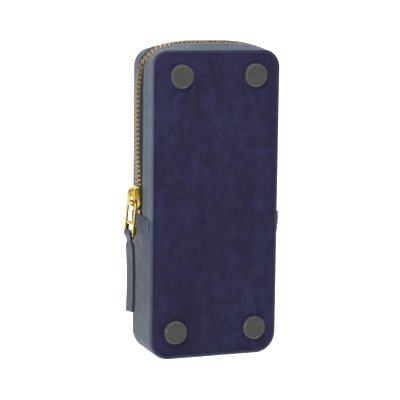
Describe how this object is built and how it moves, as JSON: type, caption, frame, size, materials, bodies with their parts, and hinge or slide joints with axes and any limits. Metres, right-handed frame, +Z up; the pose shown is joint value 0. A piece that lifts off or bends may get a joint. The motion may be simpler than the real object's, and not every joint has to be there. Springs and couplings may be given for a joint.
{
  "type": "zippered pouch",
  "caption": "Rigid leather zippered pouch that stands on its short end; suede-faced base with round feet, hinged lid, metal zip round the upper half with a ring pull and leather strap.",
  "frame": {"origin": "centre of the flat lower end the case stands on", "axes": "+Z up along the case's length, +X to the right seen from the suede face with the feet, +Y from that face towards the lid"},
  "size_m": [0.0877, 0.0327, 0.1747],
  "materials": {
    "leather": "satin, fine grain",
    "suede": "matte napped suede",
    "lining": "matte woven",
    "board": "matte fibre board",
    "zip_tape": "matte woven tape",
    "zip_teeth": "antique brass, bright on the tips",
    "gold_hardware": "polished",
    "rubber_foot": "matte",
    "thread": "waxed thread"
  },
  "bodies": {
    "base": {"base_panel": "suede", "base_board": "board", "base_lining": "lining", "base_rim": "leather", "base_gusset": "leather", "base_gusset_lining": "lining", "lower_gusset": "leather", "lower_gusset_board": "board", "lower_gusset_lining": "lining", "back_panel_lower": "leather", "back_board_lower": "board", "back_lining_lower": "lining", "back_rim_lower": "leather", "foot_top_left": "rubber_foot", "foot_top_right": "rubber_foot", "foot_bottom_left": "rubber_foot", "foot_bottom_right": "rubber_foot", "seam_stitches_left": "thread", "seam_stitches_right": "thread", "zip_tape_base": "zip_tape", "zip_teeth_base": "zip_teeth", "zip_top_stop_front": "zip_teeth", "zip_top_stop_back": "zip_teeth", "zip_bottom_stop": "zip_teeth"},
    "lid": {"lid_panel": "leather", "lid_board": "board", "lid_lining": "lining", "lid_rim": "leather", "lid_gusset": "leather", "lid_gusset_lining": "lining", "zip_tape_lid": "zip_tape", "zip_teeth_lid": "zip_teeth"},
    "slider": {"slider_body": "gold_hardware", "slider_bridge": "gold_hardware"},
    "pull": {"pull_frame": "gold_hardware"},
    "strap": {"pull_strap": "leather"}
  },
  "joints": [
    {"name": "lid_fold", "type": "hinge", "parent": "base", "child": "lid", "pos_m": [0, 0.01525, 0.0791], "axis": [-1, 0, 0], "range_deg": [0, 70], "deforming": ["zip_tape_base", "zip_teeth_base", "zip_tape_lid", "zip_teeth_lid"]},
    {"name": "slider_slide", "type": "slide", "parent": "base", "child": "slider", "axis": [0, 0, 1], "range_m": [0, 0.048], "deforming": ["zip_tape_base", "zip_teeth_base", "zip_tape_lid", "zip_teeth_lid"]},
    {"name": "pull_swing", "type": "hinge", "parent": "slider", "child": "pull", "pos_m": [-0.04337, 0, 0.0871], "axis": [-0.2549, 0.9513, 0.1736], "range_deg": [0, 135]},
    {"name": "strap_swing", "type": "hinge", "parent": "pull", "child": "strap", "pos_m": [-0.04356, 0.00227, 0.06861], "axis": [-0.2549, 0.9513, 0.1736], "range_deg": [0, 55]}
  ]
}
